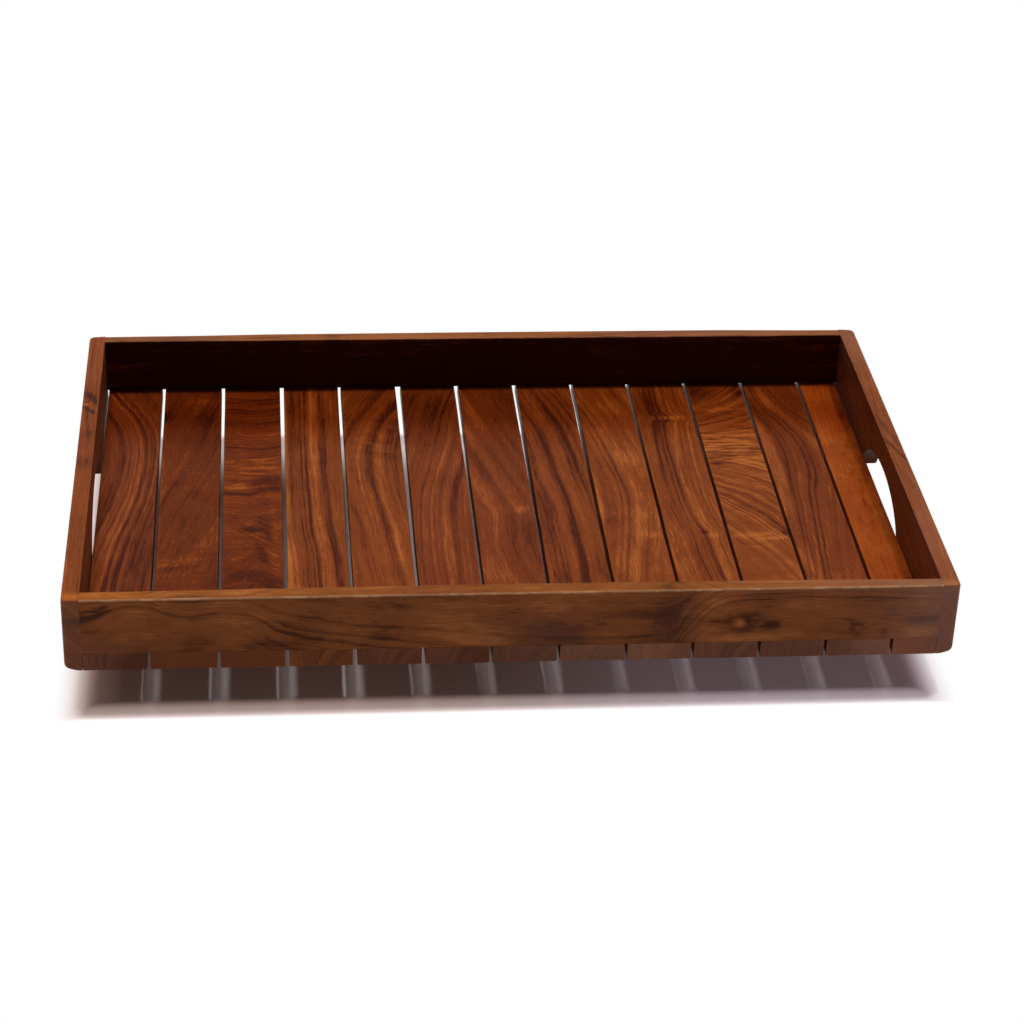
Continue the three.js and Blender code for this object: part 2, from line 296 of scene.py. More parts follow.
def makeWood(name, low, high, grain, seed, figure):
    material = bpy.data.materials.new(name)
    material.use_nodes = True
    tree = material.node_tree
    shader = tree.nodes["Principled BSDF"]
    shader.inputs["Specular IOR Level"].default_value = woodFinish["gloss"]
    turn = Euler(grainTurn[grain]).to_matrix()
    centre = turn @ ((low + high) / 2) / mm
    half = turn @ ((high - low) / 2) / mm
    half = Vector([abs(value) for value in half])
    coords = put(tree, "TexCoord")
    board = put(tree, "Mapping", {"Vector": coords.outputs["Object"], "Location": -centre,
                                  "Rotation": grainTurn[grain], "Scale": (1 / mm, 1 / mm, 1 / mm)}).outputs[0]

    def patchMask(place, size, slant=0.0, lean=0.0):
        links = {"Board": board, "Place": place, "Reach": size, "Slant": slant, "Lean": lean}
        return useGroup(tree, patchGroup, links)["Mask"]

    lay = board
    across, along, depth = parts(tree, board)
    if figure.get("cross"):  # lines that run across the board
        lay = join(tree, along, across, depth)
    flow = 0.0
    if "path" in figure:
        flow = followPath(tree, parts(tree, lay)[1], figure["path"])
    ring = useGroup(tree, growthRings, {
        "Board": lay, "Flow": flow, "Spread": figure.get("spread", 0.0), "Face": figure.get("face", 4.75),
        "Tilt": figure.get("tilt", 0.6), "Arc": figure.get("arc", 1.2), "Wander": figure.get("wander", 4.0),
        "Seed": seed * 7.31,
    })["Ring"]
    for place, size, push in figure.get("knots", ()):
        ring = calc(tree, "MULTIPLY_ADD", patchMask(place, size), push, ring)
    fine = useGroup(tree, fineGrain, {"Board": lay, "Ring": ring, "Seed": seed * 3.17})
    stripes = figure["stripes"]
    first, last = stripes[0][0], stripes[-1][0]
    place = calc(tree, "MULTIPLY_ADD", fine["Jitter"], figure.get("jitter", 2.0), ring)
    place = put(tree, "MapRange", {"Value": place, "From Min": first, "From Max": last})
    bands = put(tree, "ValToRGB", {0: place.outputs[0]})
    bands.color_ramp.interpolation = "EASE"
    stops = bands.color_ramp.elements
    while len(stops) < len(stripes):
        stops.new(0.5)
    for stop, (distance, level) in zip(stops, stripes):
        stop.position = (distance - first) / (last - first)
        level = 0.5 + (level - 0.5) * woodFinish["contrast"]
        stop.color = (level, level, level, 1.0)
    tone = bands.outputs[0]
    for key, amount in grainShares.items():
        strength = figure.get(key.lower(), amount)
        if key in ("Lines", "Hair") and "calm" in figure:  # a place where the lines die away
            strength = calc(tree, "MULTIPLY_ADD", patchMask(*figure["calm"]), -strength, strength)
        tone = calc(tree, "MULTIPLY_ADD", fine[key], strength, tone)
    fibre = calc(tree, "SUBTRACT", fine["Fibre"], 0.5)
    tone = calc(tree, "MULTIPLY_ADD", fibre, figure.get("fibre", 0.7), tone)
    for place, size, slant, step, strength in figure.get("curls", ()):
        links = {"Board": board, "Place": place, "Reach": size, "Slant": slant, "Step": step, "Seed": seed * 5.3}
        tone = calc(tree, "MULTIPLY_ADD", useGroup(tree, curlGroup, links)["Curl"], strength, tone)
    for place, size, slant, strength, *lean in figure.get("patches", ()):
        tone = calc(tree, "MULTIPLY_ADD", patchMask(place, size, slant, *lean), strength, tone)

    colour = blend(tree, fade(tree, tone, 0.0, 0.5), figure["dark"], figure["middle"])
    colour = blend(tree, fade(tree, tone, 0.5, 1.0), colour, figure["light"])
    for place, size, tint, share in figure.get("tints", ()):
        colour = blend(tree, calc(tree, "MULTIPLY", patchMask(place, size), share), colour, tint)
    if grain == "Y":  # painted shade: slats are darker and redder towards the back
        far = fade(tree, along, *woodFinish["farShadeReach"])
        colour = blend(tree, far, colour, woodFinish["farShade"], "MULTIPLY")
    if "topTint" in figure:  # the top edges are tinted darker and more orange than the faces below
        topTinted = fade(tree, across, *[half.x - depthBelow for depthBelow in woodFinish["topTintDepth"]])
        colour = blend(tree, topTinted, colour, figure["topTint"], "MULTIPLY")
    if grain != "Y":  # rails and walls get the lighter edge, partly wear and partly painted highlight, along their top edges only
        half.y = 1000.0
    links = {"Board": board, "Half": half, "Reach": woodFinish["wearAndHighlightReach"], "Least": figure.get("wornAndLit", 0.0)}
    edges = useGroup(tree, wearAndHighlightEdges, links)["Mask"]
    if grain != "Y":
        edges = calc(tree, "MULTIPLY", edges, fade(tree, across, 0.0, 6.0))
        edges = calc(tree, "MULTIPLY", edges, fade(tree, depth, 0.0, 2.0 * figure.get("wearAndHighlightSide", 1)))
    edges = calc(tree, "MULTIPLY", edges, figure.get("wearAndHighlightShare", 0.25))
    # painted highlight over some wear: the eased edges are blended towards a pale colour
    colour = blend(tree, edges, colour, figure.get("wearAndHighlight", figure["light"]))
    facing = parts(tree, coords.outputs["Normal"])["X" if grain == "X" else "Y"]
    endGrain = fade(tree, calc(tree, "ABSOLUTE", facing), *woodFinish["endFacing"])
    if grain == "wall":  # only at the wall's own ends, not in the hand hold
        beyond = fade(tree, calc(tree, "ABSOLUTE", along), *holdShade["endStart"])
        endGrain = calc(tree, "MULTIPLY", endGrain, beyond)
        # painted shade: the hand hold's far end, where it faces the front, is darkened
        hold = patchMask(holdShade["place"], holdShade["reach"])
        facingFront = fade(tree, facing, *holdShade["facing"])
        colour = blend(tree, calc(tree, "MULTIPLY", hold, facingFront), colour, figure["dark"])
    endColour, endShare = figure["end"]
    if "endLean" in figure:  # ends that are lighter towards one side
        lean = figure["endLean"]
        shade = fade(tree, across, -half.x, half.x, 1.0 - lean, 1.0 + lean)
        endColour = blend(tree, 1.0, endColour, join(tree, shade, shade, shade), "MULTIPLY")
    colour = blend(tree, calc(tree, "MULTIPLY", endGrain, endShare), colour, endColour)
    tree.links.new(colour, shader.inputs["Base Color"])
    shine = woodFinish["fibreShine"]
    shine = calc(tree, "MULTIPLY_ADD", fine["Fibre"], shine, woodFinish["roughness"] - shine / 2)
    shine = calc(tree, "MULTIPLY_ADD", endGrain, woodFinish["endShine"], shine)
    tree.links.new(shine, shader.inputs["Roughness"])
    relief = calc(tree, "MULTIPLY_ADD", fine["Fibre"], 0.7, calc(tree, "MULTIPLY", fine["Lines"], 0.2))
    bump = put(tree, "Bump", {"Height": relief, "Strength": woodFinish["bump"], "Distance": woodFinish["bumpDepth"]})
    tree.links.new(bump.outputs[0], shader.inputs["Normal"])
    return material


# board shapes

def newPiece(name, bm, material, node):
    bmesh.ops.recalc_face_normals(bm, faces=bm.faces)
    mesh = bpy.data.meshes.new(name)
    bm.to_mesh(mesh)
    bm.free()
    mesh.polygons.foreach_set("use_smooth", [True] * len(mesh.polygons))
    mesh.set_sharp_from_angle(angle=math.radians(42))
    mesh.materials.append(material)
    piece = bpy.data.objects.new(name, mesh)
    scene.collection.objects.link(piece)
    weighted = piece.modifiers.new("flat faces", "WEIGHTED_NORMAL")
    weighted.keep_sharp = True
    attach(piece, "root")
    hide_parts(node)
    return piece


def board(low, high):
    bm = bmesh.new()
    bmesh.ops.create_cube(bm, size=1.0)
    bmesh.ops.scale(bm, vec=high - low, verts=bm.verts)
    bmesh.ops.translate(bm, vec=(low + high) / 2, verts=bm.verts)
    return bm


def runsAlong(edge, axis):
    step = edge.verts[1].co - edge.verts[0].co
    return abs(step[axis]) > 0.9 * step.length


def ease(bm, edges, width, segments, clamp=True):
    bmesh.ops.bevel(bm, geom=edges, offset=width, offset_type="OFFSET", affect="EDGES", segments=segments,
                    profile=0.5, material=-1, clamp_overlap=clamp)


def cutAway(bm, bits):
    solid = bpy.data.meshes.new("board to cut")
    bm.to_mesh(solid)
    bm.free()
    bmesh.ops.recalc_face_normals(bits, faces=bits.faces)
    bitMesh = bpy.data.meshes.new("cutters")
    bits.to_mesh(bitMesh)
    bits.free()
    plank = bpy.data.objects.new("board to cut", solid)
    bit = bpy.data.objects.new("cutters", bitMesh)
    scene.collection.objects.link(plank)
    scene.collection.objects.link(bit)
    cut = plank.modifiers.new("cut", "BOOLEAN")
    cut.object = bit
    cut.operation = "DIFFERENCE"
    cut.solver = "EXACT"
    cut.use_self = True
    bpy.context.view_layer.update()
    rest = bmesh.new()
    rest.from_object(plank, bpy.context.evaluated_depsgraph_get())
    for unused in (plank, bit):
        bpy.data.objects.remove(unused)
    for unused in (solid, bitMesh):
        bpy.data.meshes.remove(unused)
    return rest


def drill(bm, holes):
    bits = bmesh.new()
    for start, end, radius in holes:
        way = end - start
        turn = way.to_track_quat("Z", "Y").to_matrix().to_4x4()
        bmesh.ops.create_cone(bits, cap_ends=True, segments=20, radius1=radius, radius2=radius, depth=way.length,
                              matrix=Matrix.Translation((start + end) / 2) @ turn)
    return cutAway(bm, bits)


# how far the rails' faces bow in from straight, in mm, at shares of the half length from left to right
railBow = {
    "front_rail": {
        "inner": ((-1.0, 1.2), (-0.5, 0.4), (-0.1, 0.0), (0.2, 0.1), (0.6, 0.9), (1.0, 2.2)),
        "outer": ((-1.0, 0.0), (1.0, 0.0)),
    },
    "back_rail": {
        "inner": ((-1.0, 0.0), (1.0, 0.0)),
        "outer": ((-1.0, 2.0), (-0.85, 1.6), (-0.5, 0.3), (0.0, 0.0), (0.6, 0.1), (1.0, 1.6)),
    },
}


def bowAt(x, name, side):
    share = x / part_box(name)[1].x
    points = railBow[name][side]
    for (start, first), (end, second) in zip(points, points[1:]):
        if share <= end:
            step = max(0.0, (share - start) / (end - start))
            return mm * (first + (second - first) * step * step * (3 - 2 * step))
    return mm * points[-1][1]


# slats

slatShape = {
    "topEase": 0.6 * mm,
    "bottomEase": 0.7 * mm,
    "cuts": 31,
    "waver": 0.16 * mm,
    "waverStep": 28,
    "waverSeeds": (3.7, 9.1),
    "swell": 0.3 * mm,
    # what is planed off a side at the far and the near end, in mm
    "leftTrim": {"slat_01": (0.9, 0.0), "slat_02": (-0.5, -0.6), "slat_04": (0.2, 0.1),
                 "slat_05": (-0.3, 0.1), "slat_06": (0.8, 0.1), "slat_07": (0.8, -0.2),
                 "slat_08": (1.1, 0.0), "slat_09": (0.9, -0.1)},
    "rightTrim": {"slat_01": (0.7, 0.65), "slat_02": (0.3, 0.2), "slat_03": (0.25, 0.2), "slat_04": (0.5, 0.45),
                  "slat_05": (0.8, 0.0), "slat_07": (-0.3, 0.0), "slat_08": (-0.4, -0.2), "closing_slat": (0.6, 0.0)},
    "nailY": 139.5 * mm,
    "headHole": 1.6 * mm,
    "headDepth": 1.3 * mm,
    "shankHole": 1.0 * mm,
}

deepRed = {"dark": paint(56, 14, 0), "middle": paint(94, 37, 4), "light": paint(138, 68, 18)}
umber = {"dark": paint(58, 15, 0), "middle": paint(98, 38, 2), "light": paint(144, 71, 16)}
redBrown = {"dark": paint(62, 17, 2), "middle": paint(105, 46, 15), "light": paint(150, 79, 36)}
goldBrown = {"dark": paint(64, 20, 2), "middle": paint(115, 53, 17), "light": paint(162, 90, 39)}
amber = {"dark": paint(88, 28, 1), "middle": paint(132, 58, 13), "light": paint(160, 80, 30)}

# end grain colours and how far they cover
redEnd = (paint(138, 86, 54), 0.45)
brownEnd = (paint(122, 80, 51), 0.45)
darkEnd = (paint(109, 79, 64), 0.45)
greyEnd = (paint(119, 93, 80), 0.45)
paleEnd = (paint(152, 113, 93), 0.5)


def onTop(x, y, width, length, strength, slant=0.0):  # a patch on a slat's top face
    return (x, y, 5), (width, length, 30), slant, strength


# each slat's figure, as on its top face: path is the line that the grain follows from the far end to the near one
slatFigures = {
    "slat_01": dict(
        redBrown, end=darkEnd, endLean=-0.35, wander=2.0, lines=0.2, spread=-0.1,
        path=[(136, -13), (118, -6), (98, 3), (85, 7), (72, 9), (60, 9.7), (45, 9.2), (30, 8), (10, 5.6), (-10, 2),
            (-30, -2), (-50, -5), (-90, -9)],
        stripes=[(-30, 0.35), (-22, 0.45), (-18.5, 0.42), (-15.5, 0.16), (-13, 0.2), (-11.8, 0.56), (-9, 0.62),
            (-7.6, 0.42), (-6.4, 0.64), (-4.6, 0.46), (-3.4, 0.62), (-1.6, 0.6), (-0.7, 0.3), (0, 0.06), (0.9, 0.4),
            (2.0, 0.66), (3.0, 0.4), (4.4, 0.12), (5.6, 0.3), (6.6, 0.68), (7.6, 0.5), (9, 0.3), (11, 0.36),
            (20, 0.34), (34, 0.42)],
        patches=[onTop(10, -62, 10, 34, -0.12)],
    ),
    "slat_02": dict(
        deepRed, end=redEnd, wander=3.0, lines=0.12, broad=0.3, flecks=0.45, mottle=0.7,
        path=[(136, 20), (98, 10), (53, 0), (25, -8), (5, -14), (-90, -40)],
        stripes=[(-40, 0.5), (-12, 0.5), (-6, 0.46), (-1.2, 0.48), (0, 0.2), (1.4, 0.46), (4, 0.52), (7, 0.44),
            (9.6, 0.5), (10.8, 0.24), (12, 0.5), (15, 0.42), (17, 0.54), (24, 0.46), (40, 0.54), (60, 0.42)],
        curls=[((0, -62, 5), (20, 18, 30), 0.0, 5.0, 1.5), ((0, 20, 5), (20, 30, 30), 0.0, 6.0, 0.5)],
        patches=[onTop(-16, 102, 4, 10, -0.6), onTop(8, 120, 9, 4, 0.25), onTop(4, 98, 18, 12, -0.14),
            onTop(0, 10, 14, 20, 0.1), onTop(-2, -82, 18, 6, -0.12)],
    ),
    "slat_03": dict(
        umber, end=redEnd, cross=True, wander=5.0, lines=0.26, flecks=0.6, broad=0.3, fibre=0.9,
        calm=((0, -52, 5), (60, 40, 30)),
        path=[(-16, 1.5), (-8, 0.5), (0, -1.5), (8, -0.5), (16, 2)],
        stripes=[(-96, 0.42), (-80, 0.36), (-74, 0.5), (-61, 0.38), (-56, 0.52), (-44, 0.4), (-39, 0.54),
            (-30, 0.36), (-25, 0.54), (-13, 0.4), (-6, 0.5), (8, 0.6), (12, 0.16), (15, 0.56), (22, 0.54),
            (39, 0.62), (50, 0.62), (55, 0.54), (57.4, 0.46), (58.8, 0.14), (60.4, 0.56), (64, 0.0), (66, 0.44),
            (72, 0.54), (89, 0.5), (92.4, 0.2), (96, 0.46), (109.5, 0.36), (113, 0.62), (115.5, 0.3), (120.5, 0.2),
            (125, 0.54)],
        knots=[((9, 14, 5), (8, 12, 30), -7), ((-2, -24, 5), (9, 10, 30), 14), ((3, -62, 5), (7, 22, 30), -14)],
        curls=[((0, 44, 5), (22, 16, 30), 0.1, 3.0, 1.6), ((-4, 20, 5), (16, 6, 30), -0.2, 3.0, 1.6),
            ((5, -34, 5), (14, 26, 30), 0.9, 2.4, 1.1), ((-8, -62, 5), (14, 22, 30), -0.8, 2.6, 1.0),
            ((8, -66, 5), (10, 20, 30), 1.4, 2.6, 0.9)],
        patches=[onTop(8, 26, 9, 6, -0.5), onTop(-4, 50, 16, 12, 0.06), onTop(-8, 20, 9, 3, 0.3, 0.1),
            onTop(4, 3, 12, 6, -0.26), onTop(-3, -19, 8, 5, 0.18), onTop(1, -27, 8, 2.6, -0.38),
            onTop(8, -32, 2.6, 7, -0.36, 0.2), onTop(12, -26, 2.4, 24, 0.26, 0.05), onTop(-6, -37, 8, 3, 0.16),
            onTop(5, -50, 2.2, 12, -0.34, 0.25), onTop(10, -56, 3, 10, 0.2, 0.1), onTop(-8, -56, 4, 9, 0.16, -0.2),
            onTop(-7, -72, 10, 6, -0.22), onTop(8, -82, 9, 6, -0.22), ((0, -58, 5), (40, 44, 60), 0.0, -0.08)],
    ),
    "slat_04": dict(
        goldBrown, end=brownEnd, wander=1.4, lines=0.18,
        path=[(136, -4.3), (60, -4.6), (0, -4), (-20, -3.4), (-40, -1.5), (-60, 0), (-90, 0.8)],
        stripes=[(-18, 0.8), (-12.5, 0.78), (-11, 0.82), (-9.6, 0.5), (-8, 0.36), (-5, 0.42), (-3.2, 0.46),
            (-2.3, 0.14), (-1.4, 0.5), (-0.9, 0.4), (0, 0.0), (1.1, 0.2), (1.8, 0.6), (4, 0.7), (6, 0.66),
            (7.6, 0.6), (8.8, 0.2), (9.8, 0.3), (11, 0.14), (12, 0.4), (14, 0.5), (24, 0.54)],
    ),
    "slat_05": dict(
        goldBrown, end=darkEnd, wander=2.0, lines=0.2,
        path=[(136, 26), (115, 16), (108, 13), (98, 8), (85, 3), (70, 0), (55, -2), (35, -2.2), (20, -1.5), (5, 0),
            (-10, 2), (-25, 4), (-45, 6), (-65, 8), (-90, 10)],
        stripes=[(-30, 0.5), (-18, 0.48), (-15.5, 0.3), (-13.5, 0.5), (-10, 0.56), (-9, 0.4), (-7.6, 0.58),
            (-4, 0.62), (-2.4, 0.4), (-1.2, 0.28), (0.2, 0.16), (1.3, 0.34), (2.2, 0.6), (4.5, 0.66), (6.8, 0.58),
            (8, 0.46), (8.9, 0.26), (10, 0.46), (14, 0.44), (24, 0.46)],
        curls=[((5, 70, 5), (9, 30, 30), 0.25, 4.5, 1.2), ((-8, 60, 5), (7, 40, 30), 0.2, 5.0, 0.6)],
        patches=[onTop(0, 125, 16, 20, -0.1)],
    ),
    "slat_06": dict(
        redBrown, end=darkEnd, endLean=-0.3, wander=2.4, lines=0.14, hair=0.34,
        path=[(136, 17), (95, 6), (70, 2), (45, -3), (30, -6), (10, -10), (-20, -12), (-90, -12)],
        stripes=[(-16, 0.5), (-4, 0.54), (-1.2, 0.56), (0, 0.26), (1.2, 0.6), (3.6, 0.54), (4.6, 0.3), (5.8, 0.64),
            (9, 0.56), (11, 0.4), (13, 0.68), (15.6, 0.54), (17.6, 0.14), (19.6, 0.2), (21, 0.54), (22.5, 0.42),
            (24, 0.74), (27, 0.54), (40, 0.48)],
        patches=[onTop(4, 104, 13, 34, -0.3, -0.32), onTop(-12, 120, 6, 14, -0.2), onTop(0, 44, 14, 14, 0.12),
            onTop(0, -30, 18, 40, 0.08)],
    ),
    "slat_07": dict(
        redBrown, end=greyEnd, endLean=0.15, wander=2.4, lines=0.12, hair=0.36, flecks=0.3,
        path=[(136, -36), (85, -22), (60, -15.5), (20, -5), (0, 0), (-12, 3.6), (-18, 3.6), (-30, 2.4), (-45, 2),
            (-65, 5), (-90, 11)],
        stripes=[(-24, 0.6), (-12, 0.56), (-6, 0.6), (-3, 0.52), (-1.5, 0.42), (0, 0.28), (1.6, 0.36), (3.4, 0.58),
            (6, 0.64), (8.4, 0.54), (10, 0.46), (12, 0.34), (15, 0.52), (19, 0.54), (20.6, 0.3), (24, 0.34),
            (26, 0.42), (28, 0.3), (31, 0.42), (34, 0.32), (50, 0.34)],
        patches=[onTop(8, -30, 6, 16, -0.14), onTop(9, -9, 7, 4, 0.3), onTop(-10, 96, 6, 18, 0.24, 0.2),
            onTop(-6, -30, 6, 20, 0.12), onTop(-12, -72, 8, 14, 0.1)],
    ),
    "slat_08": dict(
        goldBrown, end=paleEnd, wander=2.0, lines=0.2, hair=0.46,
        path=[(136, -22), (112, -15), (100, -12), (85, -8), (65, -5), (50, -3.2), (30, -1.8), (15, 0), (0, 1.8),
            (-20, 3), (-40, 3.8), (-90, 4)],
        stripes=[(-22, 0.4), (-16, 0.46), (-14.6, 0.28), (-13, 0.42), (-11.6, 0.26), (-10, 0.4), (-9, 0.3),
            (-7.6, 0.6), (-5.4, 0.64), (-3, 0.62), (-1.9, 0.3), (-0.6, 0.16), (1, 0.2), (2.2, 0.46), (4.6, 0.56),
            (6, 0.44), (8, 0.54), (10.6, 0.48), (12.8, 0.24), (14.6, 0.26), (16.4, 0.44), (19, 0.34), (22, 0.58),
            (24, 0.4), (27, 0.6), (40, 0.45)],
        patches=[((0, 0, 5), (40, 200, 60), 0.0, -0.14)],
    ),
    "slat_09": dict(
        goldBrown, end=paleEnd, endLean=-0.2, wander=1.6, lines=0.1, hair=0.4, mottle=0.8, flecks=0.3,
        path=[(136, -24), (108, -15), (90, -10.4), (70, -7), (50, -4), (35, -2), (20, 0.2), (5, 1.2), (-10, 0.6),
            (-25, -1), (-40, -3), (-55, -5.4), (-75, -8), (-90, -10)],
        stripes=[(-20, 0.66), (-14, 0.66), (-11.5, 0.46), (-7, 0.4), (-4.6, 0.54), (-3.8, 0.34), (-3, 0.26),
            (-2.2, 0.54), (-1.2, 0.48), (-0.6, 0.3), (0.1, 0.1), (0.8, 0.32), (1.6, 0.62), (5, 0.68), (9.5, 0.6),
            (10.6, 0.42), (12, 0.62), (18, 0.64), (24, 0.54), (28, 0.4), (31, 0.62), (40, 0.54)],
        patches=[onTop(-15, -2, 2, 16, 0.4), onTop(5, 47, 8, 12, 0.18), onTop(9, -38, 6, 4, 0.24),
            onTop(-11, 0, 5, 40, -0.14)],
    ),
    "slat_10": dict(
        goldBrown, end=greyEnd, wander=1.6, lines=0.24,
        path=[(136, -1.3), (105, -1.5), (98, 0), (93.5, 2.4), (89, 0.8), (84, -0.8), (60, -1.8), (30, -1.8),
            (0, -1.2), (-20, 0.5), (-30, 2.5), (-37, 5), (-50, 5.5), (-70, 7.5), (-90, 10)],
        stripes=[(-26, 0.54), (-12, 0.56), (-9.6, 0.48), (-8, 0.3), (-6.4, 0.26), (-5, 0.36), (-3.6, 0.22),
            (-2.4, 0.38), (-1.2, 0.16), (-0.2, 0.1), (0.7, 0.6), (2.4, 0.7), (4, 0.56), (5.2, 0.66), (7, 0.52),
            (8.4, 0.62), (10.6, 0.46), (12, 0.58), (20, 0.5)],
        patches=[onTop(1.5, 93, 8, 2.4, 0.45), onTop(2, 89.4, 6, 1.6, -0.3), onTop(4.5, -36, 2.2, 2, -0.4),
            onTop(8, -39, 4, 2.4, 0.26), onTop(-6, 110, 8, 22, -0.1)],
    ),
    "slat_11": dict(
        goldBrown, end=greyEnd, cross=True, spread=-0.26, wander=7.0, lines=0.4, hair=0.9, flecks=0.35, tilt=0.3,
        arc=0.0, calm=((0, -78, 5), (60, 24, 30)),
        path=[(-16, 17), (-6, 5), (4, -5), (16, -17)],
        stripes=[(-96, 0.5), (-70, 0.46), (-54, 0.54), (-50, 0.44), (-45, 0.56), (-39, 0.6), (-35, 0.46),
            (-30, 0.56), (-26, 0.4), (-23, 0.58), (-19.5, 0.42), (-16, 0.6), (-12, 0.54), (-9.6, 0.24), (-7, 0.24),
            (-4, 0.56), (2, 0.4), (7, 0.64), (12, 0.4), (17, 0.62), (24, 0.5), (31, 0.6), (36, 0.46), (42, 0.62),
            (50, 0.6), (66, 0.62), (80, 0.5), (97, 0.5), (102, 0.56), (107, 0.4), (116, 0.5), (128, 0.28)],
        curls=[((0, 63, 5), (24, 14, 30), 0.05, 2.4, 2.6), ((0, 46, 5), (22, 9, 30), -0.2, 3.0, 1.8),
            ((0, 103, 5), (20, 5, 30), 0.3, 2.2, 1.4), ((0, -43, 5), (20, 6, 30), -0.2, 2.8, 1.6)],
        patches=[onTop(2, -41, 14, 3.6, 0.36), onTop(15, -38, 2.6, 3, -0.6), onTop(2, 42, 16, 4, 0.26),
            onTop(0, 102, 12, 2.6, 0.3), onTop(0, 66, 18, 12, 0.12), ((0, 20, 5), (40, 160, 60), 0.0, 0.1),
            onTop(-13, 125, 7, 8, -0.3), onTop(-12, 39, 3, 1.6, -0.5), onTop(14, 126, 4, 8, -0.3)],
    ),
    "slat_12": dict(
        redBrown, end=paleEnd, endLean=0.28, wander=1.8, lines=0.14, hair=0.36, spread=0.5, flecks=0.25,
        path=[(136, -20), (118, -14), (108, -10), (98, -5), (88, 0), (78, 3), (65, 6), (50, 7), (35, 7), (20, 6),
            (5, 4), (-10, 3), (-30, 1), (-50, -1), (-90, -5)],
        stripes=[(-30, 0.6), (-20, 0.72), (-15, 0.8), (-12.6, 0.5), (-11, 0.22), (-9.6, 0.48), (-8.4, 0.26),
            (-6.6, 0.56), (-5, 0.64), (-4, 0.5), (-3, 0.16), (-2, 0.54), (-1, 0.5), (0, 0.1), (1.2, 0.54),
            (3, 0.52), (6, 0.62), (9, 0.46), (11, 0.58), (14, 0.4), (17, 0.6), (22, 0.44), (30, 0.5)],
        patches=[onTop(-8, 112, 6, 12, 0.3, 0.25), onTop(-12, -62, 3, 26, 0.3)],
    ),
    "closing_slat": dict(
        amber, end=paleEnd, wander=3.0, lines=0.1, broad=0.3, mottle=1.3, hair=0.6, flecks=0.5, fibre=0.7,
        path=[(136, 1), (0, 0), (-90, -2)],
        stripes=[(-20, 0.5), (-6, 0.55), (2, 0.48), (8, 0.5), (10.5, 0.3), (20, 0.3)],
        curls=[((0, 30, 5), (16, 60, 30), 0.0, 9.0, 0.7)],
        patches=[onTop(0, 122, 12, 14, 0.16), onTop(-4, -30, 8, 16, -0.14)],
    ),
}


def makeSlat(name, seed, figure):
    low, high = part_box(name)
    shape = slatShape
    bm = board(low, high)
    long = [edge for edge in bm.edges if runsAlong(edge, 1)]
    bmesh.ops.subdivide_edges(bm, edges=long, cuts=shape["cuts"], use_grid_fill=True)
    middle = (low + high) / 2
    bySeed, bySide = shape["waverSeeds"]
    for vert in bm.verts:  # the sawn sides waver a little
        side = 1 if vert.co.x > middle.x else -1
        start = seed * bySeed + side * bySide
        sway = noise.noise(Vector((start, vert.co.y * shape["waverStep"], 0.5)))
        far, near = shape["rightTrim" if side > 0 else "leftTrim"].get(name, (0.0, 0.0))
        share = (vert.co.y - low.y) / (high.y - low.y)
        if share > 0.99:  # cut off flush with the back rail
            vert.co.y -= bowAt(vert.co.x, "back_rail", "outer")
        trim = mm * (near + (far - near) * share)
        vert.co.x -= side * (shape["waver"] * (0.5 + sway) - shape["swell"] + trim)

    def rims(up):
        return [edge for edge in bm.edges if runsAlong(edge, 1)
                and all((vert.co.z - middle.z) * up > 0 for vert in edge.verts)
                and len({face.normal.z * up > 0.5 for face in edge.link_faces}) == 2]

    top, bottom = rims(1), rims(-1)
    ease(bm, top, shape["topEase"], 3)
    ease(bm, [edge for edge in bottom if edge.is_valid], shape["bottomEase"], 3)
    holes = []
    for y in (-shape["nailY"], shape["nailY"]):
        below = Vector((middle.x, y, low.z - mm))
        holes.append((below, Vector((middle.x, y, low.z + shape["headDepth"])), shape["headHole"]))
        holes.append((below, Vector((middle.x, y, high.z + mm)), shape["shankHole"]))
    bm = drill(bm, holes)
    material = makeWood(name + "_figure", low, high, "Y", seed, figure)
    return newPiece(name + "_board", bm, material, name)


for number, (name, figure) in enumerate(slatFigures.items(), 1):
    makeSlat(name, number, figure)
print("slats made:", len(slatFigures))


# rails

railShape = {
    "outerEase": 0.8 * mm,
    "innerEase": 0.3 * mm,
    "cuts": 47,
}

# the pale edge colour is a painted highlight over a little wear
railBrown = {"dark": paint(72, 36, 17), "middle": paint(133, 76, 37), "light": paint(174, 108, 59),
             "wearAndHighlight": paint(200, 156, 118), "end": (paint(125, 74, 48), 0.6)}


def onFace(up, along, height, length, strength, slant=0.0):  # a patch on a rail's outer face
    return (up, along, 0), (height, length, 30), slant, strength


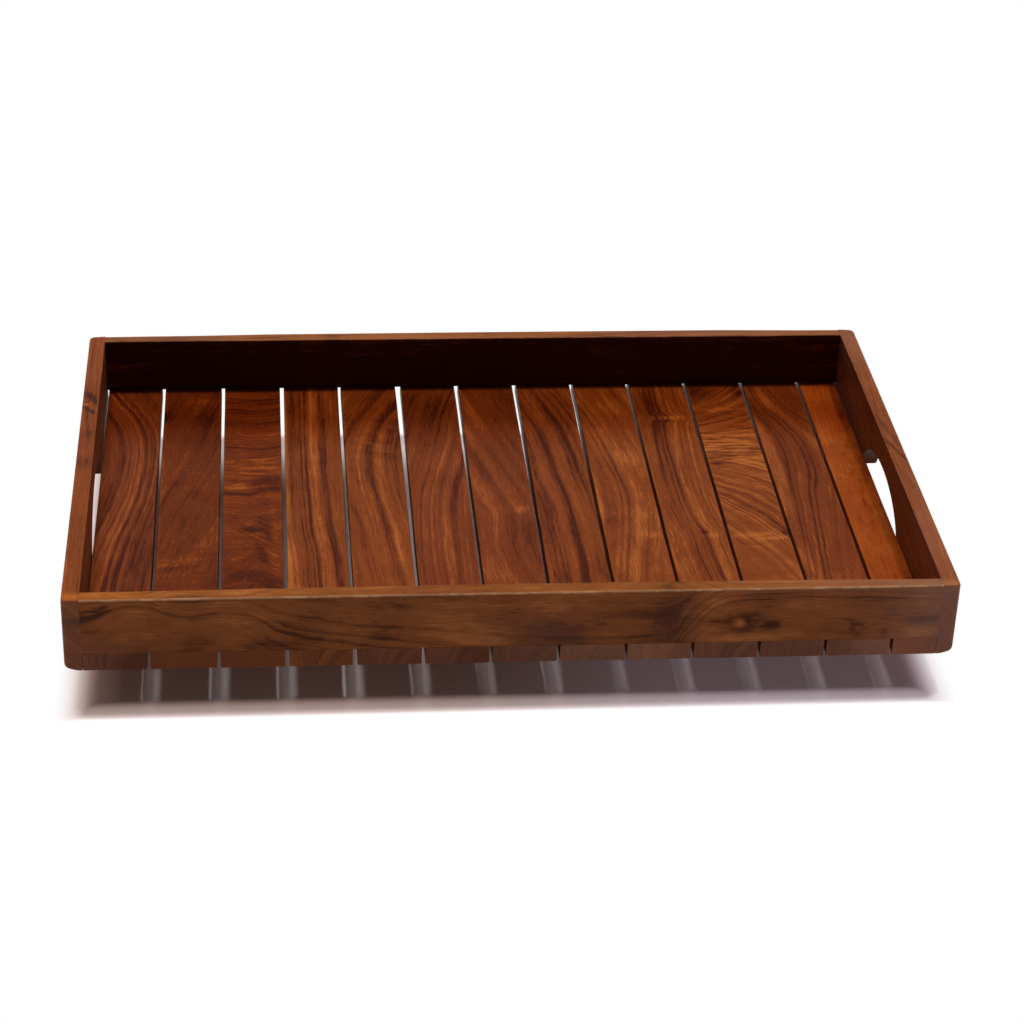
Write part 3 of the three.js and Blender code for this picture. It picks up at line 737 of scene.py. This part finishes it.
# figures on the outer face, as (height above the middle, place along, depth)
railFigures = {
    "front_rail": dict(
        railBrown, wander=5.0, lines=0.07, hair=0.22, flecks=0.1, broad=0.4, mottle=1.3, face=-4.5, tilt=0.9,
        # the pale line along the front rail's top outer edge is mostly a painted highlight
        arc=0.0, spread=-0.35, wearAndHighlightShare=0.9, wornAndLit=0.55, wearAndHighlightSide=-1, topTint=(0.87, 0.8, 0.6, 1.0),
        calm=((2, -203, 0), (30, 22, 40)),
        path=[(-226, 6), (-212, 7), (-205, 11), (-195, 17), (-188, 18), (-183, 17), (-178, 13), (-172, 9),
            (-165, 7), (-150, 8), (-142, 8), (-128, 3), (-115, -4), (-100, -7), (-78, -10), (-40, -13), (0, -16),
            (40, -17), (74, -17), (86, -9), (95, 1), (104, 9), (118, 13), (160, 14), (190, 13), (226, 10)],
        stripes=[(-30, 0.5), (-20, 0.46), (-14, 0.5), (-9, 0.45), (-5, 0.54), (-2.2, 0.44), (-0.8, 0.14),
            (0.6, 0.5), (2, 0.62), (3.4, 0.24), (5, 0.5), (8, 0.46), (9.4, 0.2), (11, 0.48), (15, 0.52), (18, 0.4),
            (20, 0.5), (23, 0.44), (26, 0.54), (29, 0.46), (34, 0.5)],
        knots=[((-4.6, 113, 0), (6, 12, 30), 9), ((-9, 174, 0), (4, 6, 30), 6), ((-5, 211, 0), (4, 10, 30), 5)],
        patches=[onFace(5, -192, 8, 13, 0.2), onFace(-5, -140, 8, 13, 0.3), onFace(4, -217, 1.5, 6, -0.3),
            onFace(7.5, -207.5, 3, 2.8, -0.3), onFace(12.5, -204, 4, 2.6, -0.3), onFace(10, -200, 6, 5, -0.14),
            onFace(-13, -200, 4, 26, -0.2), onFace(-12.5, -114, 5, 20, -0.26), onFace(-8, -66, 6, 11, -0.26),
            onFace(4, -50, 8, 26, 0.14), onFace(-8, 15, 8, 18, -0.2), onFace(-7, -22, 7, 18, 0.18),
            onFace(-5, 33, 2, 3, -0.2), onFace(0, 80, 18, 8, -0.26), onFace(4, 100, 8, 8, 0.26),
            onFace(-4.6, 113, 5.4, 10, -0.8), onFace(-4.4, 113, 2.6, 3.2, 1.1), onFace(-3.2, 101, 1.4, 5, -0.4),
            onFace(-6.2, 130, 3, 4.4, -0.6), onFace(-13, 126, 2.6, 24, 0.34), onFace(-9, 174, 3.4, 4, -0.34),
            onFace(-9, 174, 1.6, 1.8, 0.4), onFace(-4, 210, 3, 9, -0.5), onFace(-11, 206, 3.4, 10, 0.44),
            onFace(11.5, 132, 1.6, 26, -0.28), onFace(-12, 188, 5, 2, -0.26, 0.2), onFace(-4, 150, 10, 30, 0.16),
            ((15.6, -170, 3), (3, 60, 8), 0.0, 0.14)],
        tints=[((16, -206, 0.5), (3, 24, 5), paint(178, 108, 40), 0.55),
            ((16, 185, 0), (3, 60, 9), paint(150, 97, 76), 0.6),
            ((-14, -212, 0), (7, 30, 30), paint(100, 61, 46), 0.6),
            ((-8, 14, 0), (10, 26, 30), paint(100, 64, 48), 0.6),
            ((-6, 78, 0), (14, 14, 30), paint(96, 56, 38), 0.5),
            ((-2, 216, 0), (40, 26, 60), paint(135, 103, 92), 0.5)],
    ),
    "back_rail": dict(
        railBrown, wander=5.0, lines=0.2, face=4.5, tilt=0.9, arc=0.0, wearAndHighlightShare=0.3, topTint=(1.0, 0.98, 0.95, 1.0),
        path=[(-226, -3), (-150, 2), (-60, -2), (40, 3), (130, -2), (226, 2)],
        stripes=[(-30, 0.5), (-14, 0.4), (-8, 0.55), (-3, 0.3), (1, 0.5), (6, 0.6), (10, 0.42), (16, 0.52),
            (20, 0.44), (24, 0.56), (34, 0.45)],
        # the last two patches are painted shade darkening the back rail's inner face
        patches=[((15, -176, 2), (6, 18, 7), 0.0, -0.2), ((15, -85, 0), (6, 5, 7), 0.0, -0.2),
            ((15, 150, 0), (6, 50, 8), 0.0, -0.16), ((-6, -120, -5.4), (30, 200, 1.6), 0.0, -0.85),
            ((-6, 130, -5.4), (30, 160, 1.6), 0.0, -0.7)],
        tints=[((16, 150, 2), (3, 60, 6), paint(142, 90, 70), 0.5),
            ((16, -170, 2), (3, 30, 6), paint(136, 86, 64), 0.45)],
    ),
}


def makeRail(name, seed, figure):
    low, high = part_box(name)
    bm = board(low, high)
    middle = (low + high) / 2
    outward = 1 if middle.y > 0 else -1
    long = [edge for edge in bm.edges if runsAlong(edge, 0)]
    bmesh.ops.subdivide_edges(bm, edges=long, cuts=railShape["cuts"], use_grid_fill=True)
    for vert in bm.verts:
        side = "outer" if (vert.co.y - middle.y) * outward > 0 else "inner"
        vert.co.y += (-outward if side == "outer" else outward) * bowAt(vert.co.x, name, side)
    bm.normal_update()
    rims = [edge for edge in bm.edges if runsAlong(edge, 0)
            and len({abs(face.normal.z) > 0.5 for face in edge.link_faces}) == 2]
    outerTop = [edge for edge in rims if edge.verts[0].co.z > middle.z
                and (edge.verts[0].co.y - middle.y) * outward > 0]
    others = [edge for edge in rims if edge not in outerTop]
    ease(bm, others, railShape["innerEase"], 2)
    ease(bm, [edge for edge in outerTop if edge.is_valid], railShape["outerEase"], 3)
    material = makeWood(name + "_figure", low, high, "X", seed, figure)
    return newPiece(name + "_board", bm, material, name)


for number, (name, figure) in enumerate(railFigures.items(), 21):
    makeRail(name, number, figure)
print("rails made")


# end walls

wallShape = {
    "bottomRound": 3.6 * mm,
    "frontRound": 2.2 * mm,
    "backRound": 3.2 * mm,
    "topEase": 0.8 * mm,
    "innerEase": 0.3 * mm,
    "backTrim": {"left_end_wall": 2.0 * mm, "right_end_wall": 1.6 * mm},
    "archEase": 1.0 * mm,
    "archLength": 95 * mm,
    "archShift": 3.5 * mm,
    "archHeight": 25.5 * mm,
    "footRound": 6 * mm,
    "footReach": 20 * mm,
    "footDrop": 5 * mm,
    "cutterOver": 0.25,
    "archZone": 70 * mm,
    "slack": 0.01 * mm,
}

wallBrown = {"dark": paint(62, 31, 19), "middle": paint(123, 66, 36), "light": paint(165, 100, 60),
             "wearAndHighlight": paint(176, 112, 70), "wander": 6.0, "lines": 0.16, "face": 0.0, "tilt": 1.2, "arc": 0.0}

# figures on the inner face and the top edge, as (height above the middle, place along, depth)
wallFigures = {
    "left_end_wall": dict(
        wallBrown, wearAndHighlightSide=1, topTint=(0.93, 0.74, 0.46, 1.0), end=(paint(116, 77, 54), 0.6),
        path=[(-150, 2), (-80, -2), (0, 3), (70, -1), (150, 2)],
        stripes=[(-36, 0.45), (-20, 0.5), (-12, 0.36), (-6, 0.55), (0, 0.4), (6, 0.56), (12, 0.4), (16, 0.52),
            (19, 0.44), (22, 0.55), (26, 0.46), (36, 0.5)],
        patches=[((20.5, 68.5, 0), (12, 9, 2.4), 0.0, -0.42, -0.54),
            ((20.5, 54, 1), (12, 6, 1.6), 0.0, -0.42, -0.9), ((20.5, 60, 2.2), (3, 1.0, 1.6), 0.0, 0.9, -0.3),
            ((20.5, 26, 0), (12, 7, 9), 0.0, -0.24), ((20.5, -5, 0), (12, 7, 9), 0.0, -0.26),
            ((20.5, 12, 2), (12, 5, 6), 0.0, -0.14), ((20.5, 112, 0), (12, 30, 9), 0.0, 0.14),
            ((8.6, -144, 0), (1.6, 5, 14), 0.0, -0.5)],
        tints=[((20.5, -139, -1), (5, 3, 8), paint(182, 112, 40), 0.7),
            ((8, -144, -1), (2.4, 6, 9), paint(40, 20, 10), 0.95)],
    ),
    "right_end_wall": dict(
        wallBrown, wearAndHighlightSide=-1, topTint=(0.88, 0.79, 0.65, 1.0), end=(paint(133, 96, 84), 0.65),
        path=[(-150, -1), (-60, 2), (20, -2), (90, 3), (150, 0)],
        stripes=[(-36, 0.45), (-20, 0.5), (-12, 0.4), (-6, 0.55), (0, 0.42), (6, 0.56), (12, 0.4), (16, 0.54),
            (19, 0.46), (22, 0.56), (26, 0.48), (36, 0.5)],
        patches=[((20.5, -2, 0.4), (12, 13, 1.1), 0.0, -0.5, -0.31),
            ((20.5, 24, 1), (12, 16, 1.4), 0.0, -0.3, -0.2), ((20.5, -40, -1), (12, 14, 1.2), 0.0, -0.25, -0.16),
            ((20, 128, 0), (12, 8, 5), 0.0, -0.16), ((20.5, 50, 0), (12, 40, 9), 0.0, 0.1)],
        tints=[((20.5, -95, 0), (8, 45, 12), paint(150, 95, 74), 0.5),
            ((20.5, 128, 0), (8, 26, 12), paint(148, 97, 78), 0.55),
            ((20.5, -141, 0), (5, 4, 12), paint(180, 122, 86), 0.5)],
    ),
}


def archBit(inner, outer, floor):
    # the hand hold's outline, its feet flared, as a bar through the wall
    shape = wallShape
    bits = bmesh.new()
    bmesh.ops.create_circle(bits, cap_ends=False, segments=96, radius=0.5)
    bmesh.ops.scale(bits, vec=(shape["archLength"], 2 * shape["archHeight"], 1.0), verts=bits.verts)
    bmesh.ops.rotate(bits, cent=(0, 0, 0), matrix=Matrix(((0, 0, 1), (1, 0, 0), (0, 1, 0))), verts=bits.verts)
    bmesh.ops.delete(bits, geom=[vert for vert in bits.verts if vert.co.z < -touching], context="VERTS")
    arch = sorted(bits.verts, key=lambda vert: vert.co.y)
    reach = shape["archLength"] / 2 + shape["footReach"]
    drop = -shape["footDrop"]
    feet = [bits.verts.new((0, y, z)) for y, z in ((reach, 0), (reach, drop), (-reach, drop), (-reach, 0))]
    bits.faces.new(arch + feet)
    bmesh.ops.bevel(bits, geom=[arch[0], arch[-1]], offset=shape["footRound"], offset_type="OFFSET",
                    affect="VERTICES", segments=6, profile=0.5, material=-1, clamp_overlap=False)
    grown = bmesh.ops.extrude_face_region(bits, geom=bits.faces[:])["geom"]
    outerVerts = [part for part in grown if isinstance(part, bmesh.types.BMVert)]
    bmesh.ops.translate(bits, vec=(outer - inner, 0, 0), verts=outerVerts)
    over = shape["cutterOver"]
    bmesh.ops.scale(bits, vec=(1 + 2 * over, 1, 1), verts=bits.verts)
    bmesh.ops.translate(bits, vec=(inner - (outer - inner) * over, shape["archShift"], floor), verts=bits.verts)
    return bits


def makeWall(name, seed, figure):
    low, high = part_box(name)
    shape = wallShape
    outer, inner = (low.x, high.x) if low.x < 0 else (high.x, low.x)
    high.y -= shape["backTrim"][name]
    bm = board(low, high)

    def at(edge, axis, value):
        return all(abs(vert.co[axis] - value) < touching for vert in edge.verts)

    ease(bm, [edge for edge in bm.edges if at(edge, 0, outer) and at(edge, 2, low.z)], shape["bottomRound"], 6)
    for y, width in ((low.y, shape["frontRound"]), (high.y, shape["backRound"])):
        corner = [edge for edge in bm.edges if at(edge, 1, y) and not at(edge, 2, high.z)
                  and not at(edge, 2, low.z) and not at(edge, 0, inner)]
        ease(bm, corner, width, 6, clamp=False)
    bm = cutAway(bm, archBit(inner, outer, low.z))

    def inArch(face):
        underside = face.normal.z < -0.99 and face.calc_center_median().z < low.z + shape["slack"]
        top = low.z + shape["archHeight"] + shape["slack"]
        return abs(face.normal.x) < 0.02 and not underside and all(
            abs(vert.co.y) < shape["archZone"] and vert.co.z < top for vert in face.verts)

    bm.normal_update()
    mouth = [edge for edge in bm.edges if len(edge.link_faces) == 2 and not runsAlong(edge, 0)
             and sum(inArch(face) for face in edge.link_faces) == 1]
    ease(bm, mouth, shape["archEase"], 3)
    rim = [edge for edge in bm.edges if at(edge, 2, high.z)
           and len({face.normal.z > 0.9 for face in edge.link_faces}) == 2]
    ease(bm, [edge for edge in rim if at(edge, 0, inner)], shape["innerEase"], 2)
    ease(bm, [edge for edge in rim if edge.is_valid and not at(edge, 0, inner)], shape["topEase"], 3)
    material = makeWood(name + "_figure", low, high, "wall", seed, figure)
    return newPiece(name + "_board", bm, material, name)


for number, (name, figure) in enumerate(wallFigures.items(), 31):
    makeWall(name, number, figure)
print("end walls made")


# nails and dowels keep their solids

fastenerLooks = {
    "nail_wire_steel": {"grain": (3000, 3000, 900), "tones": (paint(110, 108, 106), paint(158, 157, 155)),
                        "roughness": (0.3, 0.25), "metal": 1.0, "relief": 0.05 * mm},
    "dowel_pale_wood": {"grain": (120, 1500, 1500), "tones": (paint(160, 118, 74), paint(204, 165, 116)),
                        "roughness": (0.2, 0.55), "metal": 0.0, "relief": 0.1 * mm},
}


def makeFastener(name):
    look = fastenerLooks[name]
    material = bpy.data.materials.new(name)
    material.use_nodes = True
    tree = material.node_tree
    shader = tree.nodes["Principled BSDF"]
    coords = put(tree, "TexCoord").outputs["Object"]
    grain = put(tree, "Mapping", {"Vector": coords, "Scale": look["grain"]}).outputs[0]
    grain = speckle(tree, grain, 3.0, 0.6).outputs[0]
    tree.links.new(blend(tree, fade(tree, grain, 0.3, 0.7), *look["tones"]), shader.inputs["Base Color"])
    tree.links.new(calc(tree, "MULTIPLY_ADD", grain, *look["roughness"]), shader.inputs["Roughness"])
    shader.inputs["Metallic"].default_value = look["metal"]
    bump = put(tree, "Bump", {"Height": grain, "Strength": 0.2, "Distance": look["relief"]})
    tree.links.new(bump.outputs[0], shader.inputs["Normal"])
    return material


nailSteel = makeFastener("nail_wire_steel")
dowelWood = makeFastener("dowel_pale_wood")
for name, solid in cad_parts.items():
    if "_nail_" in name or name.startswith("dowel_"):
        for slot in solid.material_slots:
            slot.material = nailSteel if "_nail_" in name else dowelWood
print("fasteners finished")


# floor, light and camera

stageSetup = {
    "floorZ": -22 * mm,
    "floorSize": 8.0,
    "shadowMiddle": -1.3,
    # painted rims of the shadow: start, end and share of white
    "sideRims": ((185, 215, 0.09), (207, 231, 0.91)),
    "frontRims": ((-137.5, -148, 0.3), (-153, -156.2, 0.7)),
    "backRim": (129, 137),
    # the shadow is painted lighter and greyer from left to right
    "shadowTurn": (-70, 120),
    "shadowLift": (0.027, 0.066),
    "shadowTints": ((1.0, 0.58, 0.48, 1.0), (1.0, 0.75, 0.84, 1.0)),
    "floorWhite": (0.94, 0.86, 0.86, 1.0),
    "ambient": 0.03,
    "mirrorShare": 0.45,
    "sunPlace": (0, 0.5, 1.5),
    "suns": (
        {"name": "top soft box", "strength": 0.15, "spread": 26, "lean": (7.5, 0), "mirrored": True},
        {"name": "back soft box", "strength": 3.0, "spread": 23, "lean": (63, 0), "mirrored": False},
        {"name": "right lamp", "strength": 1.15, "spread": 4, "lean": (7.5, 11), "mirrored": True},
        {"name": "left lamp", "strength": 0.85, "spread": 10, "lean": (7.5, -7), "mirrored": True},
    ),
}

cameraSetup = {
    "place": (-118.915 * mm, -1268.643 * mm, 754.578 * mm),
    "turn": (59.4557, -1.8100, -4.7569),
    "lens": 94.548,
    "sensor": 36.0,
    "clipStart": 0.05,
}


def seenRay(tree):
    path = put(tree, "LightPath").outputs
    mirror = calc(tree, "MULTIPLY", path["Is Glossy Ray"], stageSetup["mirrorShare"])
    return calc(tree, "MAXIMUM", calc(tree, "MAXIMUM", path["Is Camera Ray"], path["Is Transmission Ray"]), mirror)


def makeFloor():
    setup = stageSetup
    bm = bmesh.new()
    bmesh.ops.create_grid(bm, x_segments=1, y_segments=1, size=setup["floorSize"] / 2)
    bmesh.ops.translate(bm, vec=(0, 0, setup["floorZ"]), verts=bm.verts)
    mesh = bpy.data.meshes.new("floor")
    bm.to_mesh(mesh)
    bm.free()
    material = bpy.data.materials.new("white_floor")
    material.use_nodes = True
    tree = material.node_tree
    tree.nodes.remove(tree.nodes["Principled BSDF"])
    matte = put(tree, "BsdfDiffuse", {"Color": setup["floorWhite"]})
    coords = put(tree, "TexCoord").outputs["Object"]
    spot = put(tree, "Mapping", {"Vector": coords, "Scale": (1 / mm, 1 / mm, 1 / mm)})
    x, y, _ = parts(tree, spot.outputs[0])
    aside = calc(tree, "ABSOLUTE", calc(tree, "SUBTRACT", x, setup["shadowMiddle"]))
    sides = front = 0.0
    for start, end, share in setup["sideRims"]:
        sides = calc(tree, "ADD", fade(tree, aside, start, end, 0.0, share), sides)
    for start, end, share in setup["frontRims"]:
        front = calc(tree, "ADD", fade(tree, y, start, end, 0.0, share), front)
    back = fade(tree, y, *setup["backRim"])
    turn = fade(tree, x, *setup["shadowTurn"])
    lift = fade(tree, turn, 0.0, 1.0, *setup["shadowLift"])
    # painted light: the floor's emission, seen by the camera, draws the shadow's soft rims and lifts and tints the
    # shadow
    glow = calc(tree, "MAXIMUM", calc(tree, "MAXIMUM", sides, front), calc(tree, "MAXIMUM", back, lift))
    tint = blend(tree, turn, *setup["shadowTints"])
    white = put(tree, "Emission", {"Color": blend(tree, glow, tint, (1.0, 1.0, 1.0, 1.0)), "Strength": 1.0})
    share = calc(tree, "MULTIPLY", glow, seenRay(tree))
    both = put(tree, "MixShader", {0: share, 1: matte.outputs[0], 2: white.outputs[0]})
    tree.links.new(both.outputs[0], tree.nodes["Material Output"].inputs["Surface"])
    mesh.materials.append(material)
    floor = bpy.data.objects.new("floor", mesh)
    scene.collection.objects.link(floor)


def makeLights():
    for setup in stageSetup["suns"]:
        lamp = bpy.data.lights.new(setup["name"], "SUN")
        lamp.energy = setup["strength"]
        lamp.angle = math.radians(setup["spread"])
        back, side = setup["lean"]
        sun = bpy.data.objects.new(setup["name"], lamp)
        sun.rotation_euler = (-math.radians(back), math.radians(side), 0)
        sun.location = stageSetup["sunPlace"]
        sun.visible_glossy = setup["mirrored"]
        scene.collection.objects.link(sun)
    world = bpy.data.worlds.new("studio")
    world.use_nodes = True
    tree = world.node_tree
    background = tree.nodes["Background"]
    background.inputs["Color"].default_value = (1.0, 1.0, 1.0, 1.0)
    tree.links.new(fade(tree, seenRay(tree), 0.0, 1.0, stageSetup["ambient"], 1.0), background.inputs["Strength"])
    scene.world = world


def makeCamera():
    lens = bpy.data.cameras.new("camera")
    lens.lens = cameraSetup["lens"]
    lens.sensor_width = cameraSetup["sensor"]
    lens.clip_start = cameraSetup["clipStart"]
    camera = bpy.data.objects.new("camera", lens)
    camera.location = cameraSetup["place"]
    camera.rotation_euler = [math.radians(angle) for angle in cameraSetup["turn"]]
    scene.collection.objects.link(camera)
    scene.camera = camera


makeFloor()
makeLights()
makeCamera()
print("stage set")
